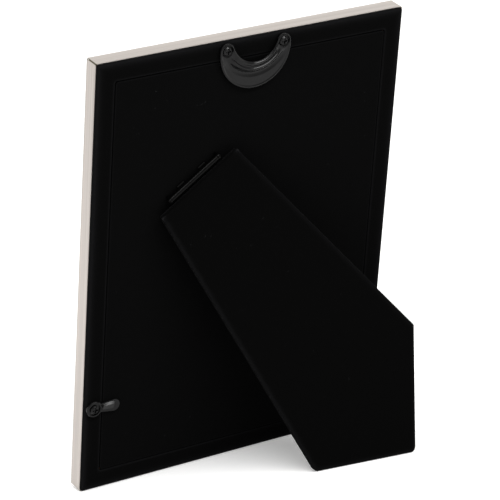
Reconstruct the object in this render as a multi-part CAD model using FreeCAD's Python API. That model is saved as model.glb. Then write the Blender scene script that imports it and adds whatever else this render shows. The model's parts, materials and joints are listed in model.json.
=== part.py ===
import FreeCAD, Part
import math
import os

# Easel back photo frame for a print of 5 by 7 inches.
# Every length is in millimetres and every angle is in degrees.
# The frame is modelled flat and upright: X across, Y from the front to the back, Z up.
# X is 0 in the middle, Y is 0 at the rear edge of the metal, Z is 0 at the bottom edge.
# Left and right are as seen from the front. The back is at positive Y.
# At the end the leg is opened to its stop, and the whole frame leans back on it.

# Whole frame. Its width and height follow from the print it holds.
frame_depth = 8.0
lean = 11.0
side_lean = 10.0

# Shared by every cut and search
overrun = 1.0
same_place = 0.01

# Mitred metal rails
rail_sheet = 0.8
sight_overlap = 4.0
lip_depth = 1.6
face_edge_radius = 0.9
frame_corner_radius = 0.8
sight_edge_radius = 0.5
inner_bend_radius = 0.1
mitre_gap = 0.2

# Flat keys that join the rails in the corners
key_inset = 2.0
key_width = 6.5
key_arm = 24.0
key_thickness = 0.8
key_clearance = 0.15

# Print, glass and card
print_width = 127.0
print_height = 177.8
print_thickness = 0.25
glass_thickness = 2.0
glass_allowance = 0.4
card_thickness = 1.0
pocket_clearance = 0.3
pocket_end_spare = 0.35

# Rear rim behind the metal face
rim_wall = 11.2
rim_clearance = 0.15

# Velvet-covered border on the rim
velvet = 0.5
border_inset = 0.3
border_card = 0.7
border_corner_radius = 1.0
velvet_edge_radius = 0.8

# Removable back panel and the groove round it
groove_inset = 9.0
groove_gap = 0.4
groove_corner_radius = 1.2
groove_edge_bevel = 0.3
panel_board = 3.0
panel_lining = 0.2

# Crescent hanger
hanger_spacing = 27.5
hanger_drop = 4.3
hanger_lobe_radius = 3.3
hanger_outer_depth = 18.7
hanger_inner_depth = 6.6
hanger_sheet = 0.8
hanger_band = 1.5
hanger_rim_width = 1.3
hanger_rim_height = 0.4
hanger_rim_bevel = 0.4
hanger_valley_width = 1.3
hanger_valley_depth = 0.5
hanger_ridge = 2.9
hanger_ridge_dip = 2.3
hanger_ridge_shoulder = 2.75
hanger_lip_width = 0.9
hanger_dip_width = 1.0
hanger_ridge_width = 3.9
hanger_lip_radius = 0.4
hanger_shoulder_bevel = 0.45
hanger_crown_radius = 90.0
hanger_mouth = 1.4
hanger_seat_clearance = 0.35

# Wood screws of the hanger and the turn button
screw_shank_radius = 0.9
screw_head_radius = 2.0
screw_head_height = 1.1
screw_bevel = 0.5
screw_length = 6.2
screw_point = 1.4
screw_recess_length = 2.6
screw_recess_width = 0.8
screw_recess_depth = 0.7
pilot_clearance = 0.03

# Turn button
button_inset = 4.6
button_height = 41.0
button_radius = 3.7
button_sheet = 0.8
button_lift = 0.15
button_rim_width = 0.9
button_rim_height = 0.6
button_rim_bevel = 0.35
button_bore_clearance = 0.05
button_head_gap = 0.06
button_turned = 1.5
tongue_reach = 12.5
tongue_root_width = 3.2
tongue_tip_width = 5.6
tongue_fold_height = 0.9
tongue_fold_start = 3.5
tongue_fold_end_gap = 0.2
tongue_crest_share = 0.24
tongue_fold_margin = 0.15

# Slanted hinge of the leg
hinge_across_share = 0.1803
hinge_up_share = 0.7055
hinge_slant = 35.3
opening = 16.0
hinge_span = 29.4
pin_radius = 0.6
pin_head_radius = 1.1
pin_head_height = 0.6
pin_head_bevel = 0.35
pin_seat_clearance = 0.02
barrel_clearance = 0.05
barrel_end_gap = 0.15
hinge_sheet = 0.7
ear_radius = 1.5
plate_sheet = 0.8
plate_up = 4.0
plate_down = 14.0
plate_corner_radius = 1.5
plate_clearance = 0.1
stop_reach = 2.2
stop_clearance = 0.02
stop_width = 3.6
stop_spacing = 12.0
roll_seam = 0.2

# Leaf on the leg, and the rivets of both leaves
leaf_width = 23.0
leaf_length = 18.0
leaf_corner_radius = 2.0
rivet_radius = 1.0
rivet_head_radius = 1.7
rivet_sink = 0.5
rivet_spacing = 16.0
rivet_clearance = 0.05
plate_rivet_drop = 7.5
leaf_rivet_drop = 15.0

# Easel leg
leg_board = 2.5
leg_width = 43.2
leg_top_drop = 2.4
leg_foot_length = 48.6
leg_side_length = 58.5
leg_foot_radius = 2.5
leg_knee_radius = 2.0
leg_top_radius = 0.9
leg_edge_radius = 0.7
leg_lining = 0.3
leg_lining_inset = 1.5
leg_lining_clearance = 0.3

# Planes that several pieces share, as places along Y
face_back = rail_sheet - frame_depth
glass_front = lip_depth - frame_depth
glass_back = glass_front + glass_thickness
print_back = glass_back + print_thickness
card_back = print_back + card_thickness
back_surface = border_card + velvet
panel_face = back_surface - velvet
panel_inside = panel_face - panel_board
panel_seat = panel_inside - panel_lining

# Outlines that several pieces share
pocket_width = print_width + 2 * pocket_clearance
pocket_height = print_height + 2 * (pocket_clearance + pocket_end_spare)
frame_width = pocket_width + 2 * rim_wall
frame_height = pocket_height + 2 * rim_wall
face_width = rim_wall + pocket_clearance + sight_overlap
border_inner = groove_inset - groove_gap / 2
panel_inset = groove_inset + groove_gap / 2

# Hinge in section: its stop tongues fix how far the leaf stands off the velvet over the plate
barrel_bore = pin_radius + barrel_clearance
barrel_radius = barrel_bore + hinge_sheet
turn = math.radians(opening)
tongue_swing = stop_reach * math.sin(turn) - barrel_radius * (1 - math.cos(turn))
leaf_gap = tongue_swing + stop_clearance
pin_height = back_surface + leaf_gap + barrel_radius
plate_face = panel_face - pin_height
plate_back = plate_face - plate_sheet
ear_outside = hinge_span / 2 - pin_head_height
barrel_length = 2 * (ear_outside - plate_sheet - barrel_end_gap)
leg_inside = hinge_sheet - barrel_radius
leg_outside = leg_inside + leg_board + velvet

# Places of the hinge, the hanger and the button
hinge_x = hinge_across_share * frame_width
hinge_z = hinge_up_share * frame_height
hanger_line = frame_height - hanger_drop
hanger_half = hanger_spacing / 2
button_x = frame_width / 2 - button_inset
button_base = back_surface + button_lift
button_face = button_base + button_sheet

centre = FreeCAD.Vector(0, 0, 0)
across = FreeCAD.Vector(1, 0, 0)
backward = FreeCAD.Vector(0, 1, 0)
upward = FreeCAD.Vector(0, 0, 1)
square = 90
half_turn = 180
full_turn = 360


# Small helpers

def rounded_wire(corners):
    """Closed outline in the XZ plane through (x, z, radius) corners, each rounded to its radius."""
    count = len(corners)
    entries = []
    exits = []
    edges = []
    for number in range(count):
        x, z, radius = corners[number]
        x_before, z_before, unused = corners[number - 1]
        x_after, z_after, unused = corners[(number + 1) % count]
        corner = FreeCAD.Vector(x, 0, z)
        to_before = (FreeCAD.Vector(x_before, 0, z_before) - corner).normalize()
        to_after = (FreeCAD.Vector(x_after, 0, z_after) - corner).normalize()
        half = to_before.getAngle(to_after) / 2
        trim = radius / math.tan(half)
        entries.append(corner + to_before * trim)
        exits.append(corner + to_after * trim)
        if radius > 0:
            inside = (to_before + to_after).normalize()
            middle = corner + inside * (radius / math.sin(half) - radius)
            edges.append(Part.Arc(entries[-1], middle, exits[-1]).toShape())
    for number in range(count):
        start = exits[number]
        end = entries[(number + 1) % count]
        if start.distanceToPoint(end) > same_place:
            edges.append(Part.LineSegment(start, end).toShape())
    return Part.Wire(Part.__sortEdges__(edges))


def plate(corners, low, high):
    """Flat piece with an outline in XZ, between two places along Y."""
    solid = Part.Face(rounded_wire(corners)).extrude(backward * (high - low))
    solid.translate(backward * low)
    return solid


def rod(x, z, radius, low, high):
    """Round bar along Y."""
    return Part.makeCylinder(radius, high - low, FreeCAD.Vector(x, low, z), backward)


def turned(corners, x, y, z, span):
    """A (radius, height) section turned about an axis along Y. Less than a full turn hangs below it."""
    face = Part.Face(rounded_wire(corners))
    face.rotate(centre, across, -square)
    face.rotate(centre, backward, square - span / 2)
    solid = face.revolve(centre, backward, span)
    solid.translate(FreeCAD.Vector(x, y, z))
    return solid


def rectangle(width, height, radius):
    """Corners of an upright rectangle about the frame's middle."""
    low = frame_height / 2 - height / 2
    high = frame_height / 2 + height / 2
    return [
        (-width / 2, low, radius),
        (width / 2, low, radius),
        (width / 2, high, radius),
        (-width / 2, high, radius),
    ]


def inset_rectangle(inset, radius):
    """Corners of the frame's outline, drawn in by the same distance on every side."""
    return rectangle(frame_width - 2 * inset, frame_height - 2 * inset, radius)


def edges_at(solid, y, chosen=None):
    """The edges that lie flat at one place along Y."""
    edges = []
    for edge in solid.Edges:
        box = edge.BoundBox
        flat = abs(box.YMin - y) < same_place and abs(box.YMax - y) < same_place
        if flat and (chosen is None or chosen(edge)):
            edges.append(edge)
    return edges


def joined(solids):
    """One solid from pieces that touch."""
    whole = solids[0].multiFuse(solids[1:])
    return whole.removeSplitter()


def placed(solid, place):
    """A copy of a piece, moved."""
    copy = solid.copy()
    copy.Placement = place.multiply(copy.Placement)
    return copy


# Metal rails

def rail(start, inward, length):
    """One rail: a bent sheet section along its length, mitred at both ends."""
    front = -frame_depth
    section = [
        (0, front, face_edge_radius),
        (face_width, front, sight_edge_radius),
        (face_width, glass_front, 0),
        (face_width - rail_sheet, glass_front, 0),
        (face_width - rail_sheet, face_back, inner_bend_radius),
        (rail_sheet, face_back, inner_bend_radius),
        (rail_sheet, 0, 0),
        (0, 0, 0),
    ]
    bar = plate(section, 0, length)
    seam = mitre_gap / math.sqrt(2)
    reach = face_width + overrun
    plan = [
        (-overrun, seam - overrun),
        (reach, seam + reach),
        (reach, length - seam - reach),
        (-overrun, length - seam + overrun),
    ]
    points = []
    for depth_in, along in plan + plan[:1]:
        points.append(FreeCAD.Vector(depth_in, along, front - overrun))
    wedge = Part.Face(Part.makePolygon(points)).extrude(upward * (frame_depth + 2 * overrun))
    axes = FreeCAD.Rotation(inward, backward.cross(inward), backward)
    solid = placed(bar.common(wedge), FreeCAD.Placement(start, axes))
    outside = plate(inset_rectangle(0, frame_corner_radius), front - overrun, overrun)
    return solid.common(outside)


def rails():
    half = frame_width / 2
    return {
        "rail_bottom": rail(FreeCAD.Vector(-half, 0, 0), upward, frame_width),
        "rail_right": rail(FreeCAD.Vector(half, 0, 0), -across, frame_height),
        "rail_top": rail(FreeCAD.Vector(half, 0, frame_height), -upward, frame_width),
        "rail_left": rail(FreeCAD.Vector(-half, 0, frame_height), across, frame_height),
    }


def corner_key(side, end, growth):
    """L-shaped key in one corner. Side and end are -1 or 1, and growth enlarges it on every side."""
    near = key_inset - growth
    inner = key_inset + key_width + growth
    far = key_inset + key_arm + growth
    plan = [(near, near), (far, near), (far, inner), (inner, inner), (inner, far), (near, far)]
    corners = []
    for from_side, from_end in plan:
        x = side * (frame_width / 2 - from_side)
        z = frame_height / 2 + end * (frame_height / 2 - from_end)
        corners.append((x, z, 0))
    return plate(corners, face_back, face_back + key_thickness + growth)


def corner_keys(growth):
    keys = []
    for side in (-1, 1):
        for end in (-1, 1):
            keys.append(corner_key(side, end, growth))
    return Part.makeCompound(keys)


# Glass, print and cards in the pocket

def glass_pane():
    width = print_width - glass_allowance
    height = print_height - glass_allowance
    return plate(rectangle(width, height, 0), glass_front, glass_back)


def photo_insert():
    return plate(rectangle(print_width, print_height, 0), glass_back, print_back)


def backing_card():
    width = print_width - glass_allowance
    height = print_height - glass_allowance
    return plate(rectangle(width, height, 0), print_back, card_back)


# Screws and the holes they need

def screw_places():
    """Each wood screw in the back: x, z and where the underside of its head sits."""
    seat = back_surface + hanger_sheet
    return {
        "hanger": [(-hanger_half, hanger_line, seat), (hanger_half, hanger_line, seat)],
        "button": [(button_x, button_height, button_face + button_head_gap)],
    }


def wood_screw(x, z, seat):
    """Cross-recess screw. Its head sits at the seat and its point goes in towards the front."""
    section = [
        (0, -screw_length, 0),
        (screw_shank_radius, screw_point - screw_length, 0),
        (screw_shank_radius, 0, 0),
        (screw_head_radius, 0, 0),
        (screw_head_radius, screw_head_height - screw_bevel, 0),
        (screw_head_radius - screw_bevel, screw_head_height, 0),
        (0, screw_head_height, 0),
    ]
    screw = turned(section, x, seat, z, full_turn)
    top = seat + screw_head_height
    half_long = screw_recess_length / 2
    half_wide = screw_recess_width / 2
    slots = []
    for wide, tall in ((half_long, half_wide), (half_wide, half_long)):
        corners = [
            (x - wide, z - tall, 0),
            (x + wide, z - tall, 0),
            (x + wide, z + tall, 0),
            (x - wide, z + tall, 0),
        ]
        slots.append(plate(corners, top - screw_recess_depth, top + overrun))
    return screw.cut(slots)


def screws(owner):
    solids = []
    for x, z, seat in screw_places()[owner]:
        solids.append(wood_screw(x, z, seat))
    return Part.makeCompound(solids)


def pilot_holes():
    """Straight holes for the screws, right through the border and the rim."""
    holes = []
    for places in screw_places().values():
        for x, z, seat in places:
            bottom = max(seat - screw_length - pilot_clearance, face_back)
            holes.append(rod(x, z, screw_shank_radius + pilot_clearance, bottom, seat))
    return holes


# Rim and border

def rear_rim():
    """Board ring that fills the metal, with the print's pocket and the panel's seat stepped into it."""
    ring = plate(inset_rectangle(rail_sheet + rim_clearance, 0), face_back, 0)
    pocket = plate(rectangle(pocket_width, pocket_height, 0), face_back - overrun, overrun)
    seat = plate(inset_rectangle(border_inner, 0), panel_seat, overrun)
    recesses = corner_keys(key_clearance)
    return ring.cut([pocket, seat, recesses] + pilot_holes())


def border_ring(outer_inset, inner_inset, outer_radius, inner_radius, low, high):
    ring = plate(inset_rectangle(outer_inset, outer_radius), low, high)
    return ring.cut(plate(inset_rectangle(inner_inset, inner_radius), low - overrun, high + overrun))


def card_ring():
    return border_ring(border_inset + velvet, border_inner - velvet, 0, 0, 0, border_card)


def rim_card():
    return card_ring().cut(pilot_holes())


def on_groove(edge):
    """True for an edge that runs along the groove and not along the outside of the border."""
    box = edge.BoundBox
    inside_x = max(abs(box.XMin), abs(box.XMax)) < frame_width / 2 - groove_inset / 2
    inside_z = box.ZMin > groove_inset / 2 and box.ZMax < frame_height - groove_inset / 2
    return inside_x and inside_z


def rim_velvet():
    """Velvet over the card ring, wrapped round both of its edges."""
    ring = border_ring(
        border_inset, border_inner, border_corner_radius, groove_corner_radius, 0, back_surface
    )
    outer_edges = edges_at(ring, back_surface, lambda edge: not on_groove(edge))
    ring = ring.makeFillet(velvet_edge_radius, outer_edges)
    ring = ring.makeChamfer(groove_edge_bevel, edges_at(ring, back_surface, on_groove))
    return ring.cut([card_ring()] + pilot_holes())


# Back panel

def panel_solid(inset, radius, low, high):
    return plate(inset_rectangle(inset, radius), low, high)


def plate_recess():
    """Room in the panel's board for the hinge plate and its rivets."""
    clear = plate_clearance
    corners = [
        (-ear_outside - clear, -plate_down - clear, 0),
        (ear_outside + clear, -plate_down - clear, 0),
        (ear_outside + clear, plate_up + clear, 0),
        (-ear_outside - clear, plate_up + clear, 0),
    ]
    holes = [placed(plate(corners, plate_back, 0), hinge_place)]
    for x in rivet_row():
        shank = rod(x, -plate_rivet_drop, rivet_radius + rivet_clearance, -frame_depth, 0)
        holes.append(placed(shank, hinge_place))
    return holes


def ear_slots():
    """Slits in the velvet for the two ears."""
    slots = []
    for side in (-1, 1):
        middle = side * (ear_outside - plate_sheet / 2)
        wide = plate_sheet / 2 + plate_clearance
        tall = ear_radius + plate_clearance
        corners = [
            (middle - wide, -tall, 0),
            (middle + wide, -tall, 0),
            (middle + wide, tall, 0),
            (middle - wide, tall, 0),
        ]
        slots.append(placed(plate(corners, plate_face - overrun, 0), hinge_place))
    return slots


def back_board():
    board = panel_solid(panel_inset + velvet, 0, panel_inside, panel_face)
    return board.cut(plate_recess())


def back_velvet():
    """Velvet over the back of the panel's board and the hinge plate, wrapped round the edges."""
    skin = panel_solid(panel_inset, groove_corner_radius, panel_inside, back_surface)
    skin = skin.makeChamfer(groove_edge_bevel, edges_at(skin, back_surface))
    board = panel_solid(panel_inset + velvet, 0, panel_inside - overrun, panel_face)
    return skin.cut([board] + ear_slots())


def back_lining():
    return panel_solid(panel_inset, groove_corner_radius, panel_seat, panel_inside)


# Crescent hanger

def hanger_arcs():
    """Centre heights and radii of the outer and inner arcs, both tangent to the end lobes."""
    lobe = hanger_lobe_radius
    outer_top = hanger_half ** 2 + hanger_outer_depth ** 2 - lobe ** 2
    outer = outer_top / (2 * (hanger_outer_depth - lobe))
    inner_top = hanger_half ** 2 + hanger_inner_depth ** 2 - lobe ** 2
    inner = inner_top / (2 * (hanger_inner_depth + lobe))
    outer_z = hanger_line - hanger_outer_depth + outer
    inner_z = hanger_line - hanger_inner_depth + inner
    return outer_z, outer, inner_z, inner


def crescent(growth, low, high):
    """The hanger's outline as a flat piece: two arcs joined by a round lobe at each end."""
    outer_z, outer, inner_z, inner = hanger_arcs()
    outer_centre = FreeCAD.Vector(0, 0, outer_z)
    inner_centre = FreeCAD.Vector(0, 0, inner_z)
    outer_ends = []
    inner_ends = []
    edges = []
    for side in (-1, 1):
        lobe = FreeCAD.Vector(side * hanger_half, 0, hanger_line)
        away = (lobe - outer_centre).normalize()
        towards = (inner_centre - lobe).normalize()
        radius = hanger_lobe_radius + growth
        outer_ends.append(lobe + away * radius)
        inner_ends.append(lobe + towards * radius)
        over = (away + towards).normalize()
        edges.append(Part.Arc(outer_ends[-1], lobe + over * radius, inner_ends[-1]).toShape())
    outer_low = FreeCAD.Vector(0, 0, outer_z - outer - growth)
    inner_low = FreeCAD.Vector(0, 0, inner_z - inner + growth)
    edges.append(Part.Arc(outer_ends[0], outer_low, outer_ends[1]).toShape())
    edges.append(Part.Arc(inner_ends[0], inner_low, inner_ends[1]).toShape())
    face = Part.Face(Part.Wire(Part.__sortEdges__(edges)))
    solid = face.extrude(backward * (high - low))
    solid.translate(backward * low)
    return solid


def ridge_section(inner):
    """The ridge in section: a thin lip along the inner edge, a shallow dip, and a shoulder."""
    dip_start = inner + hanger_lip_width
    dip_end = dip_start + hanger_dip_width
    return [
        (inner, 0, 0),
        (inner + hanger_ridge_width, 0, 0),
        (inner + hanger_ridge_width, hanger_ridge_shoulder - hanger_shoulder_bevel, 0),
        (inner + hanger_ridge_width - hanger_shoulder_bevel, hanger_ridge_shoulder, 0),
        (dip_end, hanger_ridge_shoulder, 0),
        (dip_end, hanger_ridge_dip, 0),
        (dip_start, hanger_ridge_dip, 0),
        (dip_start, hanger_ridge, 0),
        (inner, hanger_ridge, hanger_lip_radius),
    ]


def hanger_plate():
    """Pressed sheet: a broad band with a raised rim all round, a valley, and a ridge inside it."""
    outer_z, outer, inner_z, inner = hanger_arcs()
    base = back_surface
    band_top = base + hanger_band
    rim_top = band_top + hanger_rim_height
    inner_turn = half_turn - 2 * math.degrees(math.atan2(inner_z - hanger_line, hanger_half))
    rim = crescent(0, base, rim_top)
    rim = rim.makeChamfer(hanger_rim_bevel, edges_at(rim, rim_top))
    dish = crescent(-hanger_rim_width, band_top, rim_top + overrun)
    ridge = turned(ridge_section(inner), 0, base, inner_z, inner_turn)
    crown_axis = FreeCAD.Vector(0, base + hanger_ridge - hanger_crown_radius, 0)
    crown = Part.makeCylinder(hanger_crown_radius, frame_height, crown_axis, upward)
    ridge = ridge.common(crescent(0, base, base + hanger_ridge)).common(crown)
    valley_start = inner + hanger_ridge_width
    valley = [
        (valley_start, hanger_band - hanger_valley_depth, 0),
        (valley_start + hanger_valley_width, hanger_band, 0),
        (valley_start + hanger_valley_width, hanger_ridge, 0),
        (valley_start, hanger_ridge, 0),
    ]
    valley = turned(valley, 0, base, inner_z, inner_turn)
    seats = []
    pads = []
    for x, z, seat in screw_places()["hanger"]:
        seats.append(rod(x, z, screw_head_radius + hanger_seat_clearance, seat, seat + frame_depth))
        seats.append(rod(x, z, screw_shank_radius + pilot_clearance, base - overrun, seat))
        pads.append(rod(x, z, hanger_lobe_radius, base - 2 * overrun, rim_top))
    solid = joined([rim.cut([dish, valley]), ridge])
    hollow_top = hanger_ridge_dip - hanger_sheet
    hollow_band = crescent(-hanger_sheet, base - overrun, band_top - hanger_sheet)
    thin = [
        (valley_start - hanger_sheet, 0, 0),
        (valley_start + hanger_valley_width + hanger_sheet, 0, 0),
        (valley_start + hanger_valley_width + hanger_sheet, hanger_band, 0),
        (valley_start - hanger_sheet, hanger_band, 0),
    ]
    thin_base = base + hanger_band - hanger_valley_depth - hanger_sheet
    thin = turned(thin, 0, thin_base, inner_z, inner_turn)
    hollow_band = hollow_band.cut(thin)
    inside_section = [
        (inner + hanger_sheet, -overrun, 0),
        (inner + hanger_ridge_width - hanger_sheet, -overrun, 0),
        (inner + hanger_ridge_width - hanger_sheet, hollow_top, 0),
        (inner + hanger_sheet, hollow_top, 0),
    ]
    mouth_section = [
        (inner - overrun, -overrun, 0),
        (inner + hanger_sheet + overrun, -overrun, 0),
        (inner + hanger_sheet + overrun, hanger_mouth, 0),
        (inner - overrun, hanger_mouth, 0),
    ]
    inside = turned(inside_section, 0, base, inner_z, inner_turn)
    mouth = turned(mouth_section, 0, base, inner_z, inner_turn)
    hollow = hollow_band.fuse([inside, mouth]).cut(pads)
    return solid.cut([hollow] + seats)


# Turn button

def turn_button():
    """Pressed button: a disc with a raised rim, and a folded tongue that ends in a flat round tip."""
    tip_radius = tongue_tip_width / 2
    tip_centre = tongue_reach - tip_radius
    rim_top = button_sheet + button_rim_height
    disc = rod(0, 0, button_radius, button_base, button_face)
    tongue_corners = [
        (0, -tongue_root_width / 2, 0),
        (tip_centre, -tip_radius, 0),
        (tip_centre, tip_radius, 0),
        (0, tongue_root_width / 2, 0),
    ]
    tongue = plate(tongue_corners, button_base, button_face)
    tip = rod(tip_centre, 0, tip_radius, button_base, button_face)
    rim_section = [
        (button_radius - button_rim_width, 0, 0),
        (button_radius, 0, 0),
        (button_radius, rim_top - button_rim_bevel, 0),
        (button_radius - button_rim_bevel, rim_top, 0),
        (button_radius - button_rim_width, rim_top, 0),
    ]
    rim = turned(rim_section, 0, button_base, 0, full_turn)
    solid = joined([disc, tongue, tip, rim, tongue_fold(tip_centre)])
    bore = screw_shank_radius + button_bore_clearance
    solid = solid.cut(rod(0, 0, bore, button_base - overrun, button_face + overrun))
    place = FreeCAD.Placement(
        FreeCAD.Vector(button_x, 0, button_height),
        FreeCAD.Rotation(backward, half_turn - button_turned),
    )
    return placed(solid, place)


def tongue_fold(tip_centre):
    """The raised fold along the tongue: a crest nearer its upper edge, sloping down at both ends."""
    sections = []
    slope = tongue_fold_height
    ends = [
        (tongue_fold_start, 0),
        (tongue_fold_start + slope, 1),
        (tip_centre - tongue_fold_end_gap, 1),
        (tip_centre - tongue_fold_end_gap + slope, 0),
    ]
    spread = (tongue_tip_width - tongue_root_width) / 2 / tip_centre
    flat = button_face - button_sheet / 2
    solids = []
    for x, raised in ends:
        half = tongue_root_width / 2 + spread * x - tongue_fold_margin
        crest = -half + 2 * half * tongue_crest_share
        height = flat + raised * (button_sheet / 2 + tongue_fold_height) + (1 - raised) * same_place
        points = [
            FreeCAD.Vector(x, flat, -half),
            FreeCAD.Vector(x, height, crest),
            FreeCAD.Vector(x, flat, half),
            FreeCAD.Vector(x, flat, -half),
        ]
        sections.append(Part.makePolygon(points))
    for number in range(len(sections) - 1):
        solids.append(Part.makeLoft(sections[number : number + 2], True, True))
    return joined(solids)


# Hinge. These pieces are drawn about the pin: X along it, Y out of the back, Z up the slope.

hinge_place = FreeCAD.Placement(
    FreeCAD.Vector(hinge_x, pin_height, hinge_z),
    FreeCAD.Rotation(backward, hinge_slant),
)
open_place = hinge_place.multiply(FreeCAD.Placement(centre, FreeCAD.Rotation(across, opening)))


def rivet_row():
    return (-rivet_spacing / 2, rivet_spacing / 2)


def pin_bar(radius, length):
    return Part.makeCylinder(radius, length, across * (-length / 2), across)


def hinge_plate():
    """Fixed plate on the back panel, with an ear at each end that carries the pin."""
    half = ear_outside
    corners = [
        (-half, -plate_down, plate_corner_radius),
        (half, -plate_down, plate_corner_radius),
        (half, plate_up, 0),
        (-half, plate_up, 0),
    ]
    pieces = [plate(corners, plate_back, plate_face)]
    for side in (-1, 1):
        low_x = side * half - (plate_sheet if side > 0 else 0)
        ear = Part.makeCylinder(ear_radius, plate_sheet, across * low_x, across)
        foot = [
            (low_x, -ear_radius, 0),
            (low_x + plate_sheet, -ear_radius, 0),
            (low_x + plate_sheet, ear_radius, 0),
            (low_x, ear_radius, 0),
        ]
        pieces.append(ear)
        pieces.append(plate(foot, plate_back, 0))
    solid = joined(pieces)
    holes = [pin_bar(pin_radius + pin_seat_clearance, hinge_span)]
    for x in rivet_row():
        holes.append(rivet_hole(x, -plate_rivet_drop, plate_face))
    return placed(solid.cut(holes), hinge_place)


def hinge_pin():
    """Plain pin with a low bevelled head peened on each end."""
    shaft = pin_bar(pin_radius, hinge_span - pin_head_height)
    heads = []
    for side in (-1, 1):
        low_x = side * ear_outside - (pin_head_height if side < 0 else 0)
        head = Part.makeCylinder(pin_head_radius, pin_head_height, across * low_x, across)
        rim = [edge for edge in head.Edges if abs(edge.CenterOfMass.x - side * hinge_span / 2) < same_place]
        heads.append(head.makeChamfer(pin_head_bevel, rim))
    return placed(joined([shaft] + heads), hinge_place)


def rivet(x, z, face, length, toward):
    """Flush rivet. Its sunk head ends at the face, and its shank runs to the side toward, -1 or 1."""
    section = [
        (0, 0, 0),
        (rivet_head_radius, 0, 0),
        (rivet_radius, rivet_sink, 0),
        (rivet_radius, length, 0),
        (0, length, 0),
    ]
    solid = turned(section, 0, 0, 0, full_turn)
    if toward < 0:
        solid.rotate(centre, across, half_turn)
    solid.translate(FreeCAD.Vector(x, face, z))
    return solid


def rivet_hole(x, z, face, toward=-1):
    """The sunk hole for a rivet, with a little room round it."""
    section = [
        (0, 0, 0),
        (rivet_head_radius + rivet_clearance, 0, 0),
        (rivet_radius + rivet_clearance, rivet_sink, 0),
        (rivet_radius + rivet_clearance, frame_depth, 0),
        (0, frame_depth, 0),
    ]
    solid = turned(section, 0, 0, 0, full_turn)
    if toward < 0:
        solid.rotate(centre, across, half_turn)
    solid.translate(FreeCAD.Vector(x, face, z))
    return solid


def hinge_plate_rivets():
    solids = []
    length = plate_face - (panel_inside - pin_height)
    for x in rivet_row():
        solids.append(placed(rivet(x, -plate_rivet_drop, plate_face, length, -1), hinge_place))
    return Part.makeCompound(solids)


def leg_leaf():
    """Leaf under the leg, rolled round the pin, with two stop tongues that meet the velvet."""
    corners = [
        (-leaf_width / 2, 0, 0),
        (-leaf_width / 2, -leaf_length, leaf_corner_radius),
        (leaf_width / 2, -leaf_length, leaf_corner_radius),
        (leaf_width / 2, 0, 0),
    ]
    pieces = [plate(corners, -barrel_radius, leg_inside), pin_bar(barrel_radius, barrel_length)]
    for side in (-1, 1):
        middle = side * stop_spacing / 2
        tongue = [
            (middle - stop_width / 2, 0, 0),
            (middle + stop_width / 2, 0, 0),
            (middle + stop_width / 2, stop_reach, 0),
            (middle - stop_width / 2, stop_reach, 0),
        ]
        pieces.append(plate(tongue, -barrel_radius, leg_inside))
    solid = joined(pieces)
    holes = [pin_bar(barrel_bore, hinge_span)]
    seam = [
        (-hinge_span / 2, -barrel_radius - overrun, 0),
        (hinge_span / 2, -barrel_radius - overrun, 0),
        (hinge_span / 2, 0, 0),
        (-hinge_span / 2, 0, 0),
    ]
    holes.append(plate(seam, leg_inside, leg_inside + roll_seam))
    for x in rivet_row():
        holes.append(rivet_hole(x, -leaf_rivet_drop, -barrel_radius, 1))
    return placed(solid.cut(holes), open_place)


def leg_rivets():
    solids = []
    length = leg_inside + leg_board + barrel_radius
    for x in rivet_row():
        solids.append(placed(rivet(x, -leaf_rivet_drop, -barrel_radius, length, 1), open_place))
    return Part.makeCompound(solids)


# Easel leg. Its two foot edges lie on the table, one when the frame stands up and one on its side.

def table_line(up, edge_point):
    """Where the opened leg meets a table through the frame's rear edge, as a * x + b * z + c = 0."""
    axes = open_place.Rotation
    slope_x = axes.multVec(across).dot(up)
    slope_y = axes.multVec(backward).dot(up)
    slope_z = axes.multVec(upward).dot(up)
    lowest_face = min(slope_y * leg_inside, slope_y * leg_outside)
    height = (hinge_place.Base - edge_point).dot(up) + lowest_face
    return slope_x, slope_z, height


def leg_corners():
    """The leg's five corners, drawn about the pin with the leg closed."""
    stand = math.radians(lean)
    stand_up = FreeCAD.Vector(0, -math.sin(stand), math.cos(stand))
    tip = math.radians(side_lean)
    tip_up = FreeCAD.Vector(math.cos(tip), -math.sin(tip), 0)
    a1, b1, c1 = table_line(stand_up, centre)
    a2, b2, c2 = table_line(tip_up, across * (-frame_width / 2))
    crossing = a1 * b2 - a2 * b1
    toe = FreeCAD.Vector((b1 * c2 - b2 * c1) / crossing, 0, (a2 * c1 - a1 * c2) / crossing)
    foot_run = FreeCAD.Vector(b1, 0, -a1).normalize()
    if foot_run.x < 0:
        foot_run = -foot_run
    side_run = FreeCAD.Vector(b2, 0, -a2).normalize()
    if side_run.z < 0:
        side_run = -side_run
    heel = toe + foot_run * leg_foot_length
    knee = toe + side_run * leg_side_length
    return [
        (leg_width / 2, -leg_top_drop, leg_top_radius),
        (-leg_width / 2, -leg_top_drop, leg_top_radius),
        (knee.x, knee.z, leg_knee_radius),
        (toe.x, toe.z, leg_foot_radius),
        (heel.x, heel.z, leg_foot_radius),
    ]


def leg_slab(inset, low, high):
    """The leg's outline drawn in by a distance, between two places along Y."""
    outline = rounded_wire(leg_corners())
    if inset > 0:
        outline = outline.makeOffset2D(-inset)
    solid = Part.Face(outline).extrude(backward * (high - low))
    solid.translate(backward * low)
    return solid


def leg_board_solid():
    return leg_slab(velvet, leg_inside, leg_outside - velvet)


def leg_board_piece():
    holes = []
    for x in rivet_row():
        radius = rivet_radius + rivet_clearance
        holes.append(rod(x, -leaf_rivet_drop, radius, leg_inside - overrun, leg_outside))
    return placed(leg_board_solid().cut(holes), open_place)


def leg_velvet():
    """Velvet over the outside of the leg, wrapped round all its edges."""
    skin = leg_slab(0, leg_inside, leg_outside)
    skin = skin.makeFillet(leg_edge_radius, edges_at(skin, leg_outside))
    return placed(skin.cut(leg_board_solid()), open_place)


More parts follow.
